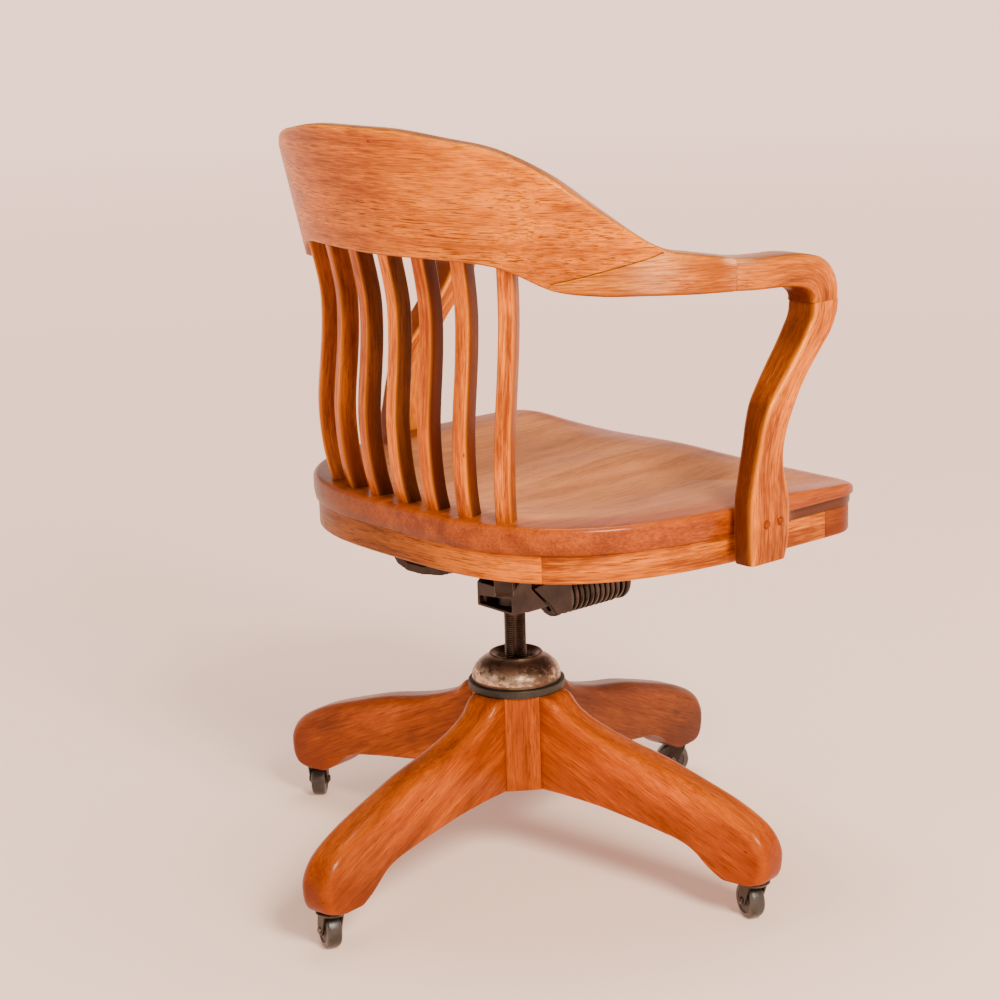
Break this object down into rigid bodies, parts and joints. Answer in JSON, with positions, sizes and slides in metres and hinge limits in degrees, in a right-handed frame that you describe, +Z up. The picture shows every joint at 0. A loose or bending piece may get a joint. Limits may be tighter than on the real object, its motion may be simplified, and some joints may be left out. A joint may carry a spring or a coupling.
{
  "type": "bankers swivel chair",
  "caption": "Oak bankers swivel chair with curved slatted back, shaped arms, saddled seat, tilting spring iron, screw spindle and four-legged caster base.",
  "frame": {"origin": "on the floor under the spindle's axis", "axes": "+Z up, -Y toward the front of the seat, +X toward the sitter's left"},
  "size_m": [0.6852, 0.6852, 0.847],
  "materials": {
    "oak": "glossy varnish",
    "seat_oak": "worn satin varnish",
    "leg_oak": "glossy varnish",
    "iron": "dark japanned",
    "steel": "oiled, worn",
    "bell": "bronzed, polished by wear",
    "ring": "dark satin",
    "caster": "dark satin",
    "wheel": "hard, worn"
  },
  "bodies": {
    "base": {"hub_block": "leg_oak", "leg_left": "leg_oak", "leg_rear": "leg_oak", "leg_right": "leg_oak", "leg_front": "leg_oak", "hub_ring": "ring", "hub_sleeve": "steel", "caster_socket_left": "caster", "caster_socket_rear": "caster", "caster_socket_right": "caster", "caster_socket_front": "caster"},
    "bell": {"bell_nut": "bell"},
    "screw": {"spindle": "steel", "spindle_collar": "steel"},
    "yoke": {"yoke": "iron", "tilt_axle": "steel", "tension_bolt": "steel", "spring_cap": "iron", "tilt_spring": "iron"},
    "knob": {"tension_knob": "iron"},
    "seat": {"seat_board": "seat_oak", "apron_rear": "oak", "apron_left": "oak", "apron_right": "oak", "apron_front": "oak", "crest_rail": "oak", "arm_left": "oak", "arm_corner_left": "oak", "arm_post_left": "oak", "arm_right": "oak", "arm_corner_right": "oak", "arm_post_right": "oak", "post_screw_left_1": "oak", "post_screw_left_2": "oak", "post_screw_right_1": "oak", "post_screw_right_2": "oak", "slat_1": "oak", "slat_2": "oak", "slat_3": "oak", "slat_4": "oak", "slat_5": "oak", "slat_6": "oak", "slat_7": "oak", "seat_iron": "iron", "iron_screw_1": "steel", "iron_screw_2": "steel", "iron_screw_3": "steel", "iron_screw_4": "steel"},
    "caster_left": {"caster_fork_left": "caster", "caster_axle_left": "steel"},
    "wheel_left": {"caster_wheel_left": "wheel"},
    "caster_rear": {"caster_fork_rear": "caster", "caster_axle_rear": "steel"},
    "wheel_rear": {"caster_wheel_rear": "wheel"},
    "caster_right": {"caster_fork_right": "caster", "caster_axle_right": "steel"},
    "wheel_right": {"caster_wheel_right": "wheel"},
    "caster_front": {"caster_fork_front": "caster", "caster_axle_front": "steel"},
    "wheel_front": {"caster_wheel_front": "wheel"}
  },
  "joints": [
    {"name": "bell_nut_turn", "type": "hinge", "parent": "base", "child": "bell", "pos_m": [0, 0, 0.2048], "axis": [0, 0, 1], "range_deg": [-4680, 8640]},
    {"name": "spindle_height", "type": "slide", "parent": "base", "child": "screw", "axis": [0, 0, 1], "range_m": [-0.0331, 0.061]},
    {"name": "seat_swivel", "type": "hinge", "parent": "screw", "child": "yoke", "pos_m": [0, 0, 0.297], "axis": [0, 0, 1], "continuous": true},
    {"name": "seat_tilt", "type": "hinge", "parent": "yoke", "child": "seat", "pos_m": [0, -0.03, 0.352], "axis": [-1, 0, 0], "range_deg": [0, 15], "stiffness_Nm_per_rad": 120, "springref_deg": -6.88, "deforming": ["tilt_spring"]},
    {"name": "tension_knob_turn", "type": "hinge", "parent": "yoke", "child": "knob", "pos_m": [0, -0.158, 0.297], "axis": [0, -1, 0], "range_deg": [-360, 360]},
    {"name": "caster_swivel_left", "type": "hinge", "parent": "base", "child": "caster_left", "pos_m": [0.31294, 0.05648, 0.042], "axis": [0, 0, 1], "continuous": true},
    {"name": "wheel_spin_left", "type": "hinge", "parent": "caster_left", "child": "wheel_left", "pos_m": [0.31931, 0.05011, 0.02], "axis": [0.7071, 0.7071, 0], "continuous": true},
    {"name": "caster_swivel_rear", "type": "hinge", "parent": "base", "child": "caster_rear", "pos_m": [-0.05648, 0.31294, 0.042], "axis": [0, 0, 1], "continuous": true},
    {"name": "wheel_spin_rear", "type": "hinge", "parent": "caster_rear", "child": "wheel_rear", "pos_m": [-0.04794, 0.3101, 0.02], "axis": [0.3156, 0.9489, 0], "continuous": true},
    {"name": "caster_swivel_right", "type": "hinge", "parent": "base", "child": "caster_right", "pos_m": [-0.31294, -0.05648, 0.042], "axis": [0, 0, 1], "continuous": true},
    {"name": "wheel_spin_right", "type": "hinge", "parent": "caster_right", "child": "wheel_right", "pos_m": [-0.3044, -0.05932, 0.02], "axis": [0.3156, 0.9489, 0], "continuous": true},
    {"name": "caster_swivel_front", "type": "hinge", "parent": "base", "child": "caster_front", "pos_m": [0.05648, -0.31294, 0.042], "axis": [0, 0, 1], "continuous": true},
    {"name": "wheel_spin_front", "type": "hinge", "parent": "caster_front", "child": "wheel_front", "pos_m": [0.06231, -0.30609, 0.02], "axis": [-0.7615, 0.6481, 0], "continuous": true}
  ],
  "couplings": [
    {"joint": "spindle_height", "follows": "bell_nut_turn", "m_per_rad": 0.00040425}
  ]
}
